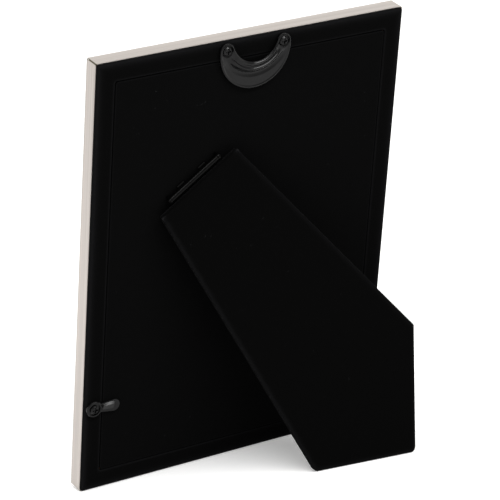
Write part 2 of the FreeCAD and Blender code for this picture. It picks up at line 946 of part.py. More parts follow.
def leg_lining_sheet():
    """Lining on the hidden side, cut out round the leaf."""
    sheet = leg_slab(leg_lining_inset, leg_inside - leg_lining, leg_inside)
    half = leaf_width / 2 + leg_lining_clearance
    window = [
        (-half, -leaf_length - leg_lining_clearance, leaf_corner_radius),
        (half, -leaf_length - leg_lining_clearance, leaf_corner_radius),
        (half, 0, 0),
        (-half, 0, 0),
    ]
    return placed(sheet.cut(plate(window, leg_inside - overrun, leg_inside + overrun)), open_place)


# Put together, lean back and write out

pieces = rails()
pieces["corner_keys"] = corner_keys(0)
pieces["glass_pane"] = glass_pane()
pieces["photo_insert"] = photo_insert()
pieces["backing_card"] = backing_card()
pieces["rear_rim"] = rear_rim()
pieces["rim_card"] = rim_card()
pieces["rim_velvet"] = rim_velvet()
pieces["back_board"] = back_board()
pieces["back_velvet"] = back_velvet()
pieces["back_lining"] = back_lining()
pieces["hanger_plate"] = hanger_plate()
pieces["hanger_screws"] = screws("hanger")
pieces["turn_button"] = turn_button()
pieces["turn_button_screw"] = screws("button")
pieces["hinge_plate"] = hinge_plate()
pieces["hinge_pin"] = hinge_pin()
pieces["hinge_plate_rivets"] = hinge_plate_rivets()
pieces["leg_leaf"] = leg_leaf()
pieces["leg_rivets"] = leg_rivets()
pieces["leg_board"] = leg_board_piece()
pieces["leg_velvet"] = leg_velvet()
pieces["leg_lining"] = leg_lining_sheet()

lean_back = FreeCAD.Placement(centre, FreeCAD.Rotation(across, -lean))
front_y = []
back_y = []
for name in pieces:
    pieces[name] = placed(pieces[name], lean_back)
    box = pieces[name].optimalBoundingBox(False)
    front_y.append(box.YMin)
    back_y.append(box.YMax)
stand_place = FreeCAD.Placement(backward * (-(min(front_y) + max(back_y)) / 2), FreeCAD.Rotation())

os.makedirs("parts", exist_ok=True)
for name in sorted(pieces):
    solid = placed(pieces[name], stand_place)
    solid.exportStep("parts/" + name + ".step")
    print(name, "solids", len(solid.Solids), "volume", round(solid.Volume, 2), "valid", solid.isValid())

row_place = stand_place.multiply(lean_back)
print("pin centre", row_place.multVec(hinge_place.Base))
print("pin direction", row_place.Rotation.multVec(hinge_place.Rotation.multVec(across)))
print("button axis point", row_place.multVec(FreeCAD.Vector(button_x, button_face, button_height)))
print("out of the back", row_place.Rotation.multVec(backward))
print("leg outline", leg_corners())
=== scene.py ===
# %% [markdown]
# Easel back photo frame, seen from behind.
#
# The metal, the boards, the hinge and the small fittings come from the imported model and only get
# their finishes here. What the model can't hold is the cloth, with its nap, its loose fibres and a
# little lint, and the flowing form of the pressed hanger. Those pieces are made in this lesson,
# each one where the model says that it sits.

# %% Load the model
import json
import math
import random

import bmesh
import bpy
from mathutils import Matrix, Vector, geometry


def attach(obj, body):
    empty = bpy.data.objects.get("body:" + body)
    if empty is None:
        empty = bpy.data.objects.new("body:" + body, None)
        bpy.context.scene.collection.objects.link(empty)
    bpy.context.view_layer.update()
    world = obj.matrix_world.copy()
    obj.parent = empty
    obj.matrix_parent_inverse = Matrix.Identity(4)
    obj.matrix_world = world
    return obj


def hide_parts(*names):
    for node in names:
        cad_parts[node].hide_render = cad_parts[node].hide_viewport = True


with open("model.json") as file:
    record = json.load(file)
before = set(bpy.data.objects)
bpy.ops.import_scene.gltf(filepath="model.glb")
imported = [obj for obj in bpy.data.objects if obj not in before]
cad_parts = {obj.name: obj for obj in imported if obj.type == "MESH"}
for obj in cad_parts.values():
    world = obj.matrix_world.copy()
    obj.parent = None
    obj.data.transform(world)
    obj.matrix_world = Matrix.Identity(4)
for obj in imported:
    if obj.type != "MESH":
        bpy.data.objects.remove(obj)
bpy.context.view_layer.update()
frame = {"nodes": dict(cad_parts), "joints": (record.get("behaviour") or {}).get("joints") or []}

nodes = frame["nodes"]
joints = {joint["name"]: joint for joint in frame["joints"]}
mm = 0.001

# %% [markdown]
# The frame leans back and its leg slants, so neither lies along the scene's axes. Each gets its
# own set of axes, read from the joints: the turn button turns about a line straight out of the
# back, and the leg turns about the slanted pin. In both sets X runs across, Y runs out of the
# velvet and Z runs up. Everything made below is drawn in one of these and then placed.

# %% Axes of the leaning back and of the open leg


def axes_at(place, across, out):
    """A matrix from a piece's own axes (X across, Y out, Z up) to the scene."""
    up = across.cross(out)
    matrix = Matrix((across, out, up)).transposed().to_4x4()
    matrix.translation = place
    return matrix


out_of_back = Vector(joints["button_turn"]["axis"]).normalized()
lean = math.atan2(-out_of_back.z, out_of_back.y)
lowest = min((vertex.co for vertex in nodes["rail_bottom"].data.vertices), key=lambda co: co.z)
back_axes = axes_at(Vector((0, lowest.y, lowest.z)), Vector((1, 0, 0)), out_of_back)

pin_line = Vector(joints["leg_hinge"]["axis"]).normalized()
opening = -math.radians(joints["leg_hinge"]["range_deg"][0])
out_of_leg = Matrix.Rotation(opening, 3, pin_line) @ out_of_back
leg_axes = axes_at(Vector(joints["leg_hinge"]["pos_m"]), pin_line, out_of_leg)
print("lean", round(math.degrees(lean), 2), "leg open by", round(math.degrees(opening), 2))

# %% [markdown]
# A cover has to fit the board under it. Small measuring helpers do that: one gives a node's lowest
# and highest corner in a set of axes, another its outline as a ring of evenly spaced points, and a
# third draws such a ring inwards. The outlines here bulge outwards everywhere, so the hull of the
# node's points is the outline.

# %% Measuring helpers
outline_step = 1.0 * mm
shortest_side = 0.02 * mm
sharpest_turn = 0.5


def points_in(node, axes):
    """A node's points in a set of axes."""
    inverse = axes.inverted()
    return [inverse @ vertex.co for vertex in nodes[node].data.vertices]


def span(node, axes):
    """Lowest and highest corner of a node in a set of axes."""
    points = points_in(node, axes)
    low = Vector([min(point[i] for point in points) for i in range(3)])
    high = Vector([max(point[i] for point in points) for i in range(3)])
    return low, high


def sides_of(ring):
    """Each side of a closed ring, as its start and its end."""
    return list(zip(ring, ring[1:] + ring[:1]))


def outline(node, axes):
    """A node's outline across and up, anticlockwise, with a point about every millimetre."""
    flat = [Vector((point.x, point.z)) for point in points_in(node, axes)]
    hull = [flat[i] for i in geometry.convex_hull_2d(flat)]
    ring = []
    for start, end in sides_of(hull):
        length = (end - start).length
        if length < shortest_side:
            continue
        pieces = max(1, round(length / outline_step))
        ring += [start.lerp(end, i / pieces) for i in range(pieces)]
    return ring


def drawn_in(ring, distance):
    """The same ring, moved inwards by a distance."""
    moved = []
    for number, point in enumerate(ring):
        before = (point - ring[number - 1]).normalized()
        after = (ring[(number + 1) % len(ring)] - point).normalized()
        normal = Vector((-before.y - after.y, before.x + after.x)).normalized()
        half_turn = math.sqrt(max(0.0, (1 + before.dot(after)) / 2))
        moved.append(point + normal * distance / max(sharpest_turn, half_turn))
    return moved


panel_ring = outline("back_velvet", back_axes)
leg_ring = outline("leg_velvet", leg_axes)
print("outline points", len(panel_ring), len(leg_ring))

# %% [markdown]
# Camera. The view was solved from the frame's own outline in the photograph: a long lens, a little
# above the frame and behind it to one side, with a small roll. It comes first, so that every later
# step can be looked at from the same place.

# %% Camera
camera_azimuth = 148.654
camera_elevation = 17.796
camera_roll = -2.582
camera_distance = 1264.5 * mm
camera_aim = Vector((-2.298, 1.657, 99.839)) * mm
camera_lens = 212.38


def in_scene(name, data):
    """A new object in the scene that shows some data, such as a mesh or a camera."""
    made = bpy.data.objects.new(name, data)
    bpy.context.scene.collection.objects.link(made)
    return made


def towards_camera(azimuth, elevation):
    """The direction from the frame to the camera. Azimuth 0 is in front, and 180 is behind."""
    turn = math.radians(azimuth)
    rise = math.radians(elevation)
    level = Vector((math.sin(turn), -math.cos(turn), 0)) * math.cos(rise)
    return level + Vector((0, 0, math.sin(rise)))


view_line = towards_camera(camera_azimuth, camera_elevation)
camera = in_scene("camera", bpy.data.cameras.new("camera"))
level = (-view_line).to_track_quat("-Z", "Y").to_matrix().to_4x4()
rolled = level @ Matrix.Rotation(math.radians(camera_roll), 4, "Z")
camera.matrix_world = Matrix.Translation(camera_aim + view_line * camera_distance) @ rolled
camera.data.lens = camera_lens
camera.data.clip_start = 0.01
camera.data.clip_end = 50
bpy.context.scene.camera = camera
print("camera at", [round(value, 3) for value in camera.matrix_world.translation])

# %% [markdown]
# Colours are written as sRGB hex values, as a paint card or a photo editor gives them. The shaders
# work in linear light, so one function turns one into the other. A second function adds a shader
# node, sets it and links it, and every material below is made with it.

# %% Colour and node helpers


def linear(code):
    """An sRGB hex colour as linear red, green, blue and alpha."""
    values = []
    for start in (0, 2, 4):
        value = int(code[start : start + 2], 16) / 255
        values.append(value / 12.92 if value <= 0.04045 else ((value + 0.055) / 1.055) ** 2.4)
    return (*values, 1.0)


def add_node(material, kind, inputs=None, **settings):
    """Add a shader node. Each input is a value, or the output socket of another node."""
    tree = material.node_tree
    added = tree.nodes.new(kind)
    for name, value in settings.items():
        setattr(added, name, value)
    for key, value in (inputs or {}).items():
        if isinstance(value, bpy.types.NodeSocket):
            tree.links.new(value, added.inputs[key])
        else:
            added.inputs[key].default_value = value
    return added


def new_material(name, **values):
    """A material with a Principled shader, its plain values set on the shader's own sockets."""
    material = bpy.data.materials.new(name)
    material.use_nodes = True
    shader = material.node_tree.nodes["Principled BSDF"]
    for key, value in values.items():
        shader.inputs[key.replace("_", " ")].default_value = value
    return material


def feed(material, **sockets):
    """Link outputs to the Principled shader's inputs by name."""
    shader = material.node_tree.nodes["Principled BSDF"]
    for key, value in sockets.items():
        material.node_tree.links.new(value, shader.inputs[key.replace("_", " ")])


def dress(names, material):
    """Give nodes of the model a material in their slots."""
    for name in names:
        for slot in nodes[name].material_slots:
            slot.material = material
    print(material.name, "on", ", ".join(names))


# %% [markdown]
# Real finishes vary over a surface: lacquer pools, card is flecked, metal is brushed. So each
# material below has one or two soft grains, drawn along the leaning frame at a real size, and its
# colour, its gloss and its relief follow them. Grain noise seldom leaves the middle of its range,
# so the span from 0.3 to 0.7 is what gets stretched.

# %% Grain along the frame
grain_span = {"From Min": 0.3, "From Max": 0.7}


def place_in_frame(material, sizes=(1, 1, 1)):
    """Coordinates in metres that lie along the leaning frame, each divided by its own size."""
    source = add_node(material, "ShaderNodeTexCoord").outputs["Object"]
    turned = {"Vector": source, "Rotation": (lean, 0, 0)}
    scaled = {
        "Vector": add_node(material, "ShaderNodeMapping", turned).outputs["Vector"],
        "Scale": tuple(1 / size for size in sizes),
    }
    return add_node(material, "ShaderNodeMapping", scaled).outputs["Vector"]


def grain_along_frame(material, sizes, detail=2.0, roughness=0.5):
    """Soft noise whose patches have about this size, or these sizes in X, Y and Z."""
    if isinstance(sizes, float):
        sizes = (sizes, sizes, sizes)
    place = place_in_frame(material, sizes)
    settings = {"Vector": place, "Scale": 1.0, "Detail": detail, "Roughness": roughness}
    return add_node(material, "ShaderNodeTexNoise", settings).outputs["Fac"]


def follow(material, grain, colours=None, roughness=None, relief=None, strength=1.0):
    """Let a grain drive the colour (between two hex values), the roughness (between two numbers)
    or a relief of some depth."""
    if colours:
        ends = {"A": linear(colours[0]), "B": linear(colours[1])}
        colour = add_node(material, "ShaderNodeMix", {"Factor": grain, **ends}, data_type="RGBA")
        feed(material, Base_Color=colour.outputs["Result"])
    if roughness:
        ends = {"To Min": roughness[0], "To Max": roughness[1]}
        gloss = add_node(material, "ShaderNodeMapRange", {"Value": grain, **grain_span, **ends})
        feed(material, Roughness=gloss.outputs["Result"])
    if relief:
        shape = {"Height": grain, "Distance": relief, "Strength": strength}
        feed(material, Normal=add_node(material, "ShaderNodeBump", shape).outputs["Normal"])


# %% [markdown]
# The mitres. At each corner two rails meet on a slanting plane. The cut edges have no plating and
# go dull, so a thin olive line shows at the corner in the photograph. It could be painted by hand,
# but a distance serves all four corners at once: folded about the frame's middle, every point of
# the mitre planes has the same difference between its height and its width.

# %% Distance from the mitre planes
rails_low, rails_high = span("rail_left", back_axes)
rails_half = (rails_high.z - rails_low.z) / 2
rails_middle = back_axes @ Vector((0, 0, rails_low.z + rails_half))
rails_longer = rails_half - span("rail_top", back_axes)[1].x
mitre_stain = 0.6 * mm
print("rails longer than wide by mm", round(2 * rails_longer / mm, 1))


def near_mitre(material):
    """A number that rises from 0 to 0.9 close to the mitre planes."""
    centre = Matrix.Rotation(lean, 3, "X") @ rails_middle
    place = {0: place_in_frame(material), 1: centre}
    from_centre = add_node(material, "ShaderNodeVectorMath", place, operation="SUBTRACT").outputs[0]
    folded = add_node(material, "ShaderNodeVectorMath", {0: from_centre}, operation="ABSOLUTE")
    parts = add_node(material, "ShaderNodeSeparateXYZ", {0: folded.outputs[0]}).outputs
    difference = {0: parts["Z"], 1: parts["X"]}
    longer = add_node(material, "ShaderNodeMath", difference, operation="SUBTRACT").outputs[0]
    beyond = {0: longer, 1: rails_longer}
    off_plane = add_node(material, "ShaderNodeMath", beyond, operation="SUBTRACT").outputs[0]
    distance = add_node(material, "ShaderNodeMath", {0: off_plane}, operation="ABSOLUTE")
    fade = {"From Min": mitre_stain / 2, "From Max": mitre_stain, "To Min": 0.9, "To Max": 0.0}
    fade["Value"] = distance.outputs[0]
    return add_node(material, "ShaderNodeMapRange", fade).outputs["Result"]


# %% [markdown]
# Satin nickel rails. The real rails are thin brass or steel sheet, rolled to shape, nickel plated
# and brushed along their length. Brushing leaves long fine scratches that spread a reflection
# across them, which is why the side wall looks like soft champagne grey and not like a mirror. The
# scratches run along each rail, so the upright rails and the level rails each need their own grain.
# Real scratches are a few hundredths of a millimetre wide. Here they are drawn 0.3 mm wide, because
# finer ones would not show.

# %% Satin nickel
scratch_width = 0.3 * mm
scratch_length = 40 * mm
band_width = 1.1 * mm
band_length = 260 * mm


def satin_nickel(name, along):
    """Brushed nickel whose grain runs along X (0) or up the frame (2)."""
    material = new_material(name, Metallic=1.0)
    scratch_sizes = [scratch_width] * 3
    scratch_sizes[along] = scratch_length
    band_sizes = [band_width] * 3
    band_sizes[along] = band_length
    scratches = grain_along_frame(material, scratch_sizes, 3.0, 0.6)
    bands = {"Value": grain_along_frame(material, band_sizes), **grain_span}
    share = add_node(material, "ShaderNodeMapRange", bands).outputs["Result"]
    tones = {"Factor": share, "A": linear("a59f9a"), "B": linear("b6afaa")}
    plating = add_node(material, "ShaderNodeMix", tones, data_type="RGBA").outputs["Result"]
    stain = {"Factor": near_mitre(material), "A": plating, "B": linear("57543f")}
    stained = add_node(material, "ShaderNodeMix", stain, data_type="RGBA").outputs["Result"]
    feed(material, Base_Color=stained)
    follow(material, scratches, roughness=(0.28, 0.42), relief=0.006 * mm, strength=0.5)
    return material


dress(["rail_top", "rail_bottom"], satin_nickel("satin nickel, grain across", 0))
dress(["rail_left", "rail_right"], satin_nickel("satin nickel, grain upright", 2))

# %% [markdown]
# Corner keys. They are stamped from plain rolled steel and never seen once the frame is closed, so
# they keep the dull grey of the mill with a faint rolling grain.

# %% Rolled steel
rolled_steel = new_material("rolled steel", Metallic=1.0)
rolling = grain_along_frame(rolled_steel, (12 * mm, 0.4 * mm, 0.4 * mm))
follow(rolled_steel, rolling, colours=("a9a8a6", "bdbcb9"), roughness=(0.38, 0.5))
dress(["corner_keys"], rolled_steel)

# %% [markdown]
# Window glass, bare print and cards. The pane is 2 mm float glass: clear, with the faint green that
# iron gives it at the cut edge. The picture is a blank sheet of lustre photo paper, because the
# frame is sold empty. Its surface has a fine even pebble. The card behind it is grey recycled board
# with darker and lighter fibres.

# %% Glass, paper and card
clear = {"Base_Color": linear("fafcfa"), "Roughness": 0.02, "IOR": 1.52}
window_glass = new_material("window glass", Transmission_Weight=1.0, **clear)
follow(window_glass, grain_along_frame(window_glass, 30 * mm, 4.0), roughness=(0.01, 0.035))
dress(["glass_pane"], window_glass)

photo_paper = new_material("lustre photo paper", Roughness=0.42, IOR=1.5)
follow(photo_paper, grain_along_frame(photo_paper, 40 * mm), colours=("e9e7e1", "f0eee9"))
pebble = grain_along_frame(photo_paper, 0.5 * mm, 1.0)
follow(photo_paper, pebble, relief=0.01 * mm, strength=0.4)
dress(["photo_insert"], photo_paper)

grey_card = new_material("grey recycled card", Roughness=0.85)
fibres = grain_along_frame(grey_card, (2 * mm, 0.5 * mm, 0.6 * mm), 5.0, 0.7)
follow(grey_card, fibres, colours=("77705f", "968e7d"), relief=0.03 * mm, strength=0.5)
dress(["backing_card", "rim_card"], grey_card)

# %% [markdown]
# Hardboard. The rim, the back panel and the leg are cut from thin brown fibreboard. It is pressed
# from wet wood fibre, so its faces are mottled and its cut edges are a little rougher.

# %% Hardboard
hardboard = new_material("brown hardboard")
mottle = grain_along_frame(hardboard, 1.2 * mm, 6.0, 0.7)
follow(hardboard, mottle, ("5e4027", "7d5938"), (0.7, 0.88), relief=0.05 * mm, strength=0.6)
dress(["rear_rim", "back_board", "leg_board"], hardboard)

# %% [markdown]
# Lining paper. The hidden face of the panel and of the leg is covered with black lining paper,
# which has a faint linen emboss. The emboss is two sets of waves, one across and one up. A wave
# texture of scale 1 makes about twenty waves to the unit, hence the 20.

# %% Lining paper
lining_paper = new_material("black lining paper", Roughness=0.62)
weave_step = 0.9 * mm
weave = {"Vector": place_in_frame(lining_paper), "Scale": 1 / weave_step / 20, "Distortion": 0.6}
threads = {}
for number, direction in enumerate(("X", "Z")):
    wave = add_node(lining_paper, "ShaderNodeTexWave", weave, bands_direction=direction)
    threads[number] = wave.outputs["Fac"]
emboss = add_node(lining_paper, "ShaderNodeMath", threads, operation="MULTIPLY").outputs[0]
follow(lining_paper, emboss, colours=("171718", "212122"), relief=0.05 * mm, strength=0.7)
dress(["back_lining", "leg_lining"], lining_paper)

# %% [markdown]
# Black lacquered steel. The crescent hanger, the turn button and their screws are pressed steel,
# dipped in black stoving lacquer. The lacquer is smooth but not mirror smooth, and a fine orange
# peel breaks up its highlights. It pools a little, so its gloss varies softly over the part.

# %% Black lacquered steel
black_lacquer = new_material("black lacquered steel", IOR=1.24)
pooling = grain_along_frame(black_lacquer, 5 * mm)
follow(black_lacquer, pooling, colours=("060606", "0c0c0d"), roughness=(0.17, 0.25))
orange_peel = grain_along_frame(black_lacquer, 0.7 * mm)
follow(black_lacquer, orange_peel, relief=0.02 * mm, strength=0.35)
dress(["hanger_plate", "hanger_screws", "turn_button", "turn_button_screw"], black_lacquer)

# %% [markdown]
# Black oxide steel. The hinge is blackened in a chemical bath and oiled, which leaves a thin dark
# skin that shines only where it faces the lamp. Rubbed spots are a little brighter, so the colour
# follows a coarse noise.

# %% Black oxide steel
black_oxide = new_material("black oxide steel", IOR=1.15)
rubbed = grain_along_frame(black_oxide, 1.5 * mm, 4.0, 0.6)
follow(black_oxide, rubbed, ("010101", "040404"), (0.2, 0.3), relief=0.01 * mm, strength=0.4)
dress(["hinge_plate", "hinge_pin", "hinge_plate_rivets", "leg_leaf", "leg_rivets"], black_oxide)

# %% [markdown]
# Black velvet. Velvet is a backing cloth with a short pile that stands up from it. Its fibres
# swallow light that falls straight in and scatter a little from their sides, so it is nearly black
# face on and has a faint pale bloom at grazing angles. The shader's sheen does that bloom. Where a
# hand has stroked the pile it lies another way and looks a shade lighter: that is the slow noise in
# the colour. Along the edges the colour is painted paler: a painted highlight where a round edge
# catches the light, and at the leg's top corners worn, frayed pile. How much paler is a number that
# each cover carries on its points, and the colour follows it. The pile's own fibres are about 0.02
# mm thick, and the bump draws them as clumps of 0.35 mm, which is as fine as the picture can show.

# %% Black velvet
pile_clump = 0.35 * mm
stroke_size = 14 * mm
sheen = {"Sheen_Weight": 0.012, "Sheen_Roughness": 0.4, "Sheen_Tint": linear("d8d8dc")}
black_velvet = new_material("black cotton velvet", Roughness=1.0, Specular_IOR_Level=0.0, **sheen)
pile = grain_along_frame(black_velvet, pile_clump, 3.0, 0.7)
follow(black_velvet, pile, relief=0.25 * mm, strength=0.8)
strokes = {0: pile, 1: grain_along_frame(black_velvet, stroke_size, 4.0, 0.6)}
shade = add_node(black_velvet, "ShaderNodeMath", strokes, operation="MULTIPLY").outputs[0]
steep = {"Value": shade, **grain_span, "To Min": -0.4, "To Max": 1.4}
tone = add_node(black_velvet, "ShaderNodeMapRange", steep).outputs["Result"]
blacks = {"Factor": tone, "A": linear("060606"), "B": linear("0c0c0c")}
closed = add_node(black_velvet, "ShaderNodeMix", blacks, data_type="RGBA").outputs["Result"]

# %% [markdown]
# Painted edge light and worn pile. How much paler the colour is comes from the cover's own points,
# and the noise of the pile speckles it, so that a painted edge highlight or a worn corner looks
# ragged and not even.

# %% Where edge light and wear are painted
speckle = {"Value": pile, **grain_span, "To Min": 0.3, "To Max": 1.7}
shares = {
    0: add_node(black_velvet, "ShaderNodeAttribute", attribute_name="opened").outputs["Fac"],
    1: add_node(black_velvet, "ShaderNodeMapRange", speckle).outputs["Result"],
}
edge_light_and_wear_share = add_node(
    black_velvet, "ShaderNodeMath", shares, operation="MULTIPLY", use_clamp=True
).outputs[0]
# The pale tone 141415 is a painted highlight on the round edges, and the worn pile's colour at the
# leg's top corners.
velvet_tones = {"Factor": edge_light_and_wear_share, "A": closed, "B": linear("141415")}
velvet_mix = add_node(black_velvet, "ShaderNodeMix", velvet_tones, data_type="RGBA")
feed(black_velvet, Base_Color=velvet_mix.outputs["Result"])
print("velvet shader nodes", len(black_velvet.node_tree.nodes))

# %% [markdown]
# Covers. A velvet cover is glued flat over its board and pulled round the edge, so it is a sheet
# with a soft round edge that ends on the hidden side in a narrow turned-in strip. Cloth simulation
# would give the same shape, since the glue holds it everywhere, so the sheet is drawn directly:
# rings of points that follow the outline, over the edge and on to the flat face. The face is filled
# by a net of small triangles, because the painted edge light and wear vary over it.

# %% A net for a flat face


def smooth(value, low, high):
    """0 below low, 1 above high and an even S between them."""
    share = min(1.0, max(0.0, (value - low) / (high - low)))
    return share * share * (3 - 2 * share)


def depth_inside(point, ring):
    """How far a point lies inside a ring of points that bulges outwards everywhere."""
    return min((end - start).normalized().cross(point - start) for start, end in sides_of(ring))


def face_net(ring, step):
    """The ring's points, points on a grid inside it, and the triangles between them."""
    points = list(ring)
    coarse = ring[::4]
    low = Vector((min(point.x for point in ring), min(point.y for point in ring)))
    high = Vector((max(point.x for point in ring), max(point.y for point in ring)))
    for column in range(int((high.x - low.x) / step)):
        for line in range(int((high.y - low.y) / step)):
            point = low + Vector((column + 0.5, line + 0.5)) * step
            if depth_inside(point, coarse) > 0.4 * step:
                points.append(point)
    found = geometry.delaunay_2d_cdt(points, [], [list(range(len(ring)))], 1, 1e-7)
    return found[0], found[2]


# %% [markdown]
# From points to a piece. Each closed row of points is joined to the next one by a band of faces.
# The painted edge light and wear are stored on the points as they are made, for the shader.

# %% From rings of points to a piece
weld = 0.001 * mm


def join_rows(mesh, rows):
    """A band of faces between each closed row of points and the next."""
    for first, second in zip(rows, rows[1:]):
        for number in range(len(first)):
            after = (number + 1) % len(first)
            mesh.faces.new((first[number], first[after], second[after], second[number]))


def mesh_piece(name, mesh, material, smooth_shaded=True):
    """Turn a drawn mesh into a piece of one material."""
    data = bpy.data.meshes.new(name)
    mesh.to_mesh(data)
    mesh.free()
    for polygon in data.polygons:
        polygon.use_smooth = smooth_shaded
    data.materials.append(material)
    return in_scene(name, data)


def loft(name, rings, axes, net_step=None):
    """A velvet piece through rings of points, each with its height and how much paler it is painted
    for edge light and wear. With a net step, the last ring is filled by a flat net of triangles."""
    mesh = bmesh.new()
    edge_light_and_wear_layer = mesh.verts.layers.float.new("opened")

    def row_at(points, height, edge_light_and_wear):
        """The points of one row, at one height."""
        row = []
        for point in points:
            row.append(mesh.verts.new(axes @ Vector((point.x, height, point.y))))
            # Each point carries how much paler it is painted: edge highlight, or wear at the leg's
            # corners.
            row[-1][edge_light_and_wear_layer] = edge_light_and_wear(point) if callable(edge_light_and_wear) else edge_light_and_wear
        return row

    rows = [row_at(*ring) for ring in rings]
    join_rows(mesh, rows)
    if net_step:
        ring, height, edge_light_and_wear = rings[-1]
        points, triangles = face_net(ring, net_step)
        net = row_at(points, height, edge_light_and_wear)
        for triangle in triangles:
            mesh.faces.new([net[i] for i in triangle])
        bmesh.ops.remove_doubles(mesh, verts=rows[-1] + net, dist=weld)
    bmesh.ops.recalc_face_normals(mesh, faces=mesh.faces)
    return mesh_piece(name, mesh, black_velvet)


# %% [markdown]
# The round edge is a quarter circle in six steps. Every cover has one, and the border has two, so
# its steps are worked out in one place.

# %% Round edges
edge_steps = 6
turn_in = 1.2 * mm
under_board = 0.03 * mm


def quarter_round(radius):
    """How far in and how far down from the top each step of a round edge lies."""
    turns = [math.radians(90) * step / edge_steps for step in range(edge_steps + 1)]
    return [(radius * (1 - math.cos(turn)), radius * (1 - math.sin(turn))) for turn in turns]


def over_the_edge(ring, low, high, radius, round_edge_light_and_wear):
    """Rings from the turned-in strip, up the side and round the edge."""
    rings = [(drawn_in(ring, turn_in), low - under_board, 0), (ring, low - under_board, 0)]
    rings.append((ring, (low + high - radius) / 2, 0))
    for step, (inwards, down) in enumerate(quarter_round(radius)):
        # From the third step on, the round edge is painted paler: a painted highlight, and wear at
        # the leg's corners.
        rings.append((drawn_in(ring, inwards), high - down, round_edge_light_and_wear if step > 1 else 0))
    return rings


def velvet_cover(piece, node, body):
    """Finish a cover: the node it stands for and the body it moves with."""
    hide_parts(node)
    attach(piece, body)
    print(piece.name, "faces", len(piece.data.polygons))


# %% [markdown]
# The back panel's cover. On the real frame this is the removable back: a board with velvet glued
# over it, which drops into the opening inside the border.

# %% Back panel cover
groove_edge = 0.3 * mm
edge_flat = 0.3 * mm
panel_bloom = 0.06
panel_net = 6 * mm
panel_low, panel_high = span("back_velvet", back_axes)
# The panel's round edge is painted a little paler: a painted highlight where it catches the light.
rings = over_the_edge(panel_ring, panel_low.y, panel_high.y, groove_edge, 0.25)
rings.append((drawn_in(panel_ring, groove_edge + edge_flat), panel_high.y, panel_bloom))
panel_cover = loft("panel_cover", rings, back_axes, panel_net)
velvet_cover(panel_cover, "back_velvet", "frame")

# %% [markdown]
# The leg's cover. The same cloth over the leg's board, with a slightly rounder edge. Along both
# sides and the foot its colour is painted paler, a painted highlight where the round edge catches
# the light, more on the side that the light falls on. The leg is what hands take hold of, so its
# pile is worn and frayed round the two top corners, which are paler still. Along the top, at the
# hinge, no edge light is painted.

# %% How the leg's pile opens
leg_edge = 0.7 * mm
leg_net = 1.2 * mm
leg_low, leg_high = span("leg_velvet", leg_axes)
half_top = max(abs(point.x) for point in leg_ring if point.y > leg_high.z - 2 * mm)
leg_corners = [Vector((side * half_top, leg_high.z)) for side in (-1, 1)]
leg_coarse = leg_ring[::4]
print("leg width at the top in mm", round(2 * half_top / mm, 1))


def leg_edge_light_and_wear(point):
    """How much paler the leg is painted at a point: edge light at sides and foot, wear at the
    corners.
    """
    below_top = smooth(leg_high.z - point.y, 1 * mm, 4 * mm)
    edge = 1 - smooth(depth_inside(point, leg_coarse), 0.5 * mm, 2.2 * mm)
    corner = min((point - corner).length for corner in leg_corners)
    near = 1 - smooth(corner, 0.5 * mm, 3 * mm)
    # The painted edge highlight is stronger on the side that the light falls on.
    lit_side = 0.2 + 0.18 * smooth(point.x, -5 * mm, 5 * mm)
    return min(1.0, lit_side * edge * below_top + 0.4 * near)


# %% [markdown]
# The sheet itself has the leg's outline. Its flat size is the board's size plus the sides and the
# turned-in strips, and its area is the face plus a strip as long as the outline.

# %% Leg cover
rings = over_the_edge(leg_ring, leg_low.y, leg_high.y, leg_edge, leg_edge_light_and_wear)
leg_cover = loft("leg_cover", rings, leg_axes, leg_net)
velvet_cover(leg_cover, "leg_velvet", "leg")

# %% [markdown]
# The border's cover. It wraps a card ring on both sides: round the outside, next to the metal, and
# round the inside, where the groove is. The ring is lofted as one closed band. Its inner outline is
# the panel's, moved out by the width of the groove.

# %% Outlines of the border
border_edge = 0.8 * mm
border_inner_edge = 0.7 * mm
groove_gap = 0.3 * mm
corner_steps = 6
long_side = 5 * mm
pieces_a_side = 60
border_low, border_high = span("rim_velvet", back_axes)


def ring_rectangle(low, high, radius):
    """A rounded rectangle with the same number of points whatever its size. Its long sides get
    points in between, so that the shading stays even."""
    corners = [(high.x, low.z, -90), (high.x, high.z, 0), (low.x, high.z, 90), (low.x, low.z, 180)]
    rounded = []
    for x, z, start in corners:
        middle = Vector((x - math.copysign(radius, x), z + (radius if z == low.z else -radius)))
        for step in range(corner_steps + 1):
            angle = math.radians(start + 90 * step / corner_steps)
            rounded.append(middle + Vector((math.cos(angle), math.sin(angle))) * radius)
    ring = []
    for start, end in sides_of(rounded):
        count = pieces_a_side if (end - start).length > long_side else 1
        ring += [start.lerp(end, i / count) for i in range(count)]
    return ring


outer = ring_rectangle(border_low, border_high, 1.0 * mm)
groove_out = Vector((groove_gap, 0, groove_gap))
inner = ring_rectangle(panel_low - groove_out, panel_high + groove_out, 1.2 * mm)
print("border points", len(outer), len(inner))

# %% [markdown]
# The band runs up the outside, over the outer edge, across the face and down into the groove. Its
# colour is painted paler on both round edges, as painted highlights where they catch the light, and
# it is lighter for a short way in from the outer edge; the face itself stays nearly plain. On the
# real frame it is cut as four strips that meet on mitres, so its flat size is the width of a strip
# and the length of all four.

# %% Border cover
border_edge_light = ((0.07, 0.4), (0.16, 0.22), (0.3, 0.08), (0.5, 0.02), (0.9, 0.02), (0.97, 0.12))
rings = [(outer, border_low.y, 0), (outer, (border_low.y + border_high.y - border_edge) / 2, 0)]
for inwards, down in quarter_round(border_edge):
    rings.append((drawn_in(outer, inwards), border_high.y - down, 0.6))
outer_face, inner_face = rings[-1][0], drawn_in(inner, -border_inner_edge)
for share, edge_light_and_wear in border_edge_light:
    ring = [start.lerp(end, share) for start, end in zip(outer_face, inner_face)]
    rings.append((ring, border_high.y, edge_light_and_wear))
